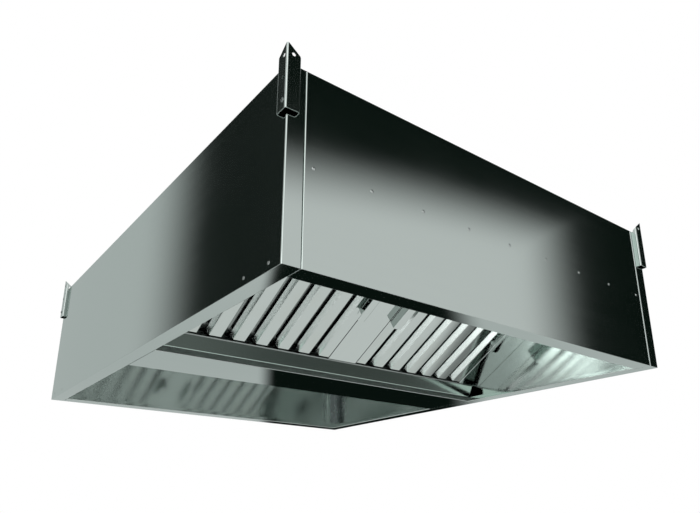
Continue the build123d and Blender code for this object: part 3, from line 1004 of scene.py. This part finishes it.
class HOOD_OT_nuts(bpy.types.Operator):
    """Chamfered nuts on their studs, behind the corners"""

    bl_idname = "hood.nuts"
    bl_label = "Corner nuts"

    def execute(self, context):
        r = context.scene.hood_sizes.nut_radius
        sides = [(r * 0.92, 0), (r, 0.0005), (r, 0.0035), (r * 0.90, 0.004), (0.0029, 0.004)]
        nut = turned("nut", sides, 6)
        thread = [(0.0028, 0.0038)]
        for i in range(3):
            thread += [(0.0030, 0.0042 + 0.0006 * i), (0.0026, 0.0045 + 0.0006 * i)]
        stud = turned("stud", thread + [(0.0022, 0.006)], 16)
        seed = joined([nut, stud], "nut")
        inner, inset = HALF_WIDTH - 2 * SHEET, 0.074
        places = [
            ((way * inner, -turn * (HALF_LENGTH - SHEET - inset), height), (-way, 0, 0))
            for turn, way in CORNERS.values()
            for height in (0.114, 0.214, 0.314)
        ]
        nuts = planted(seed, places, "corner_nuts_chamfered")
        dress(nuts, "canopy", "fastener", "fastener_steel", "corner_nuts")
        return {"FINISHED"}


class HOOD_OT_stage(bpy.types.Operator):
    """Camera, floor, plain white surroundings, dark studio flags and a soft lamp"""

    bl_idname = "hood.stage"
    bl_label = "Stage"

    def execute(self, context):
        self.add_camera(context)
        self.add_surroundings(context)
        self.add_floor(context)
        self.add_flags()
        self.add_lamp(context, "soft_lamp", 3.0, 20.0, (-0.6, -0.6, 4.0))
        softbox = self.add_lamp(context, "softbox", 2.4, 14.0, (-3.4, -2.6, 0.3))
        aim = Vector(softbox.location) - Vector((0, 0, 0.2))
        softbox.rotation_euler = aim.to_track_quat("Z", "Y").to_euler()
        context.scene.view_settings.view_transform = "Standard"
        return {"FINISHED"}

    def add_camera(self, context):
        """Camera at the photograph's place."""
        stage = context.scene.hood_stage
        camera = bpy.data.cameras.new("camera")
        camera.lens = stage.lens
        camera.sensor_width = 36.0
        camera.shift_y = stage.shift
        camera.clip_end = 200.0
        eye = bpy.data.objects.new("camera", camera)
        eye.location = stage.eye
        eye.rotation_euler = (pi / 2 + stage.pitch, 0, -stage.yaw)
        context.scene.collection.objects.link(eye)
        context.scene.camera = eye

    def add_surroundings(self, context):
        """White to the camera and to reflections, softer as light."""
        world = bpy.data.worlds.new("surroundings")
        context.scene.world = world
        shade = Shade(world)
        kinds = ("Camera", "Glossy", "Transmission")
        rays = [shade.node("ShaderNodeLightPath", output=f"Is {kind} Ray") for kind in kinds]
        seen = shade.math("MAXIMUM", shade.math("MAXIMUM", rays[0], rays[1]), rays[2])
        soft = shade.node("ShaderNodeBackground", {}, {"Color": WHITE, "Strength": 0.75})
        white = shade.node("ShaderNodeBackground", {}, {"Color": WHITE, "Strength": 1.0})
        shade.output("World", shade.blend(seen, soft, white))

    def add_floor(self, context):
        """Pale floor that fades into the white surroundings."""
        floor = start("floor", "plane", size=60, location=(0, 0, context.scene.hood_stage.floor_height))
        close(outside=False)
        material = bpy.data.materials.new("pale_floor")
        shade = Shade(material)
        here = shade.place()
        apart = shade.node("ShaderNodeVectorMath", {"operation": "LENGTH"}, {0: here}, "Value")
        pale = shade.node("ShaderNodeBsdfDiffuse", {}, {"Color": (0.86, 0.86, 0.86, 1)})
        edge = shade.smooth(apart, 2.0, 9.0)
        shade.output("Material", shade.blend(edge, pale, shade.emission(WHITE)))
        floor.data.materials.append(material)
        floor.visible_glossy = False

    def add_flags(self):
        """Dark flags, a bright strip and a glow round the hood, which only its reflections see."""
        middle = (0, 0, 0.2)
        size = {"segments": 48, "ring_count": 24, "radius": GEAR_RADIUS}
        flags = start("studio_flags", "uv_sphere", location=middle, **size)
        close(outside=False)
        flags.location = middle
        material = bpy.data.materials.new("black_flags")
        shade = Shade(material)
        x, y, z = shade.split()
        bearing = shade.math("ARCTAN2", x, y) * (180 / pi)
        above = shade.smooth(z, -8.0, -4.0)
        back = shade.between(bearing, *BACK_FLAG) * shade.smooth(z, 38.0, 26.0)
        left = shade.between(bearing, *LEFT_FLAG) * above * 0.988
        right = shade.between(bearing, *RIGHT_FLAG) * above
        climb = z / shade.math("MAXIMUM", y * -1.0, 0.01) + (bearing - 149.0) * 0.0042
        front = shade.smooth(climb, 0.602, 0.79) * shade.smooth(y, 0.0, -6.0)
        low = shade.between(z, *LOW_FLAG_HEIGHTS) * shade.smooth(bearing, 118.0, 138.0)
        low = low * (shade.smooth(bearing, 160.0, 148.0) * 0.09 + 0.82)
        veil = shade.between(bearing, *VEIL) * shade.smooth(z, -43.6, -41.2)
        veil = veil * (shade.smooth(z, -39.4, -40.6) * 0.38 + 0.37)
        dark = back
        for flag in (left, right, front, low, veil):
            dark = shade.math("MAXIMUM", dark, flag)
        clear = shade.node("ShaderNodeBsdfTransparent", {}, {"Color": WHITE})
        lit = shade.blend(dark, clear, shade.emission((0.007, 0.013, 0.010, 1)))
        strip = shade.between(bearing, *STRIP) * shade.between(z, *STRIP_HEIGHTS)
        lit = shade.blend(strip, lit, shade.emission(WHITE, STRIP_STRENGTH))
        side = shade.between(bearing, *GLOW) * shade.between(z, *GLOW_HEIGHTS)
        lit = shade.blend(side, lit, shade.emission(WHITE, GLOW_STRENGTH))
        shade.output("Material", lit)
        flags.data.materials.append(material)
        flags.visible_camera = False
        flags.visible_diffuse = False
        flags.visible_transmission = False
        flags.visible_shadow = False

    def add_lamp(self, context, name, size, watts, place):
        """Square soft lamp that points down."""
        lamp = bpy.data.lights.new(name, "AREA")
        lamp.shape = "SQUARE"
        lamp.size = size
        lamp.energy = watts
        holder = bpy.data.objects.new(name, lamp)
        holder.location = place
        context.scene.collection.objects.link(holder)
        return holder


class HOOD_PT_panel(bpy.types.Panel):
    """Buttons that make the hood's pieces"""

    bl_label = "Island exhaust hood"
    bl_idname = "HOOD_PT_panel"
    bl_space_type = "VIEW_3D"
    bl_region_type = "UI"
    bl_category = "Hood"

    def draw(self, context):
        for step in STEPS:
            self.layout.operator(step.bl_idname)


GROUPS = {"hood_sizes": HoodSizes, "hood_finish": HoodFinish, "hood_stage": HoodStage}
STEPS = (
    HOOD_OT_stage,
    HOOD_OT_finishes,
    HOOD_OT_panels,
    HOOD_OT_baffles,
    HOOD_OT_grips,
    HOOD_OT_blanks,
    HOOD_OT_trough,
    HOOD_OT_collar,
    HOOD_OT_brackets,
    HOOD_OT_rivets,
    HOOD_OT_nuts,
)


def register():
    for name, group in GROUPS.items():
        bpy.utils.register_class(group)
        setattr(bpy.types.Scene, name, bpy.props.PointerProperty(type=group))
    for kind in STEPS + (HOOD_PT_panel,):
        bpy.utils.register_class(kind)


def unregister():
    for kind in STEPS + (HOOD_PT_panel,):
        bpy.utils.unregister_class(kind)
    for name, group in GROUPS.items():
        delattr(bpy.types.Scene, name)
        bpy.utils.unregister_class(group)


def main():
    register()
    for step in STEPS:
        family, name = step.bl_idname.split(".")
        getattr(getattr(bpy.ops, family), name)()


if __name__ == "__main__":
    main()
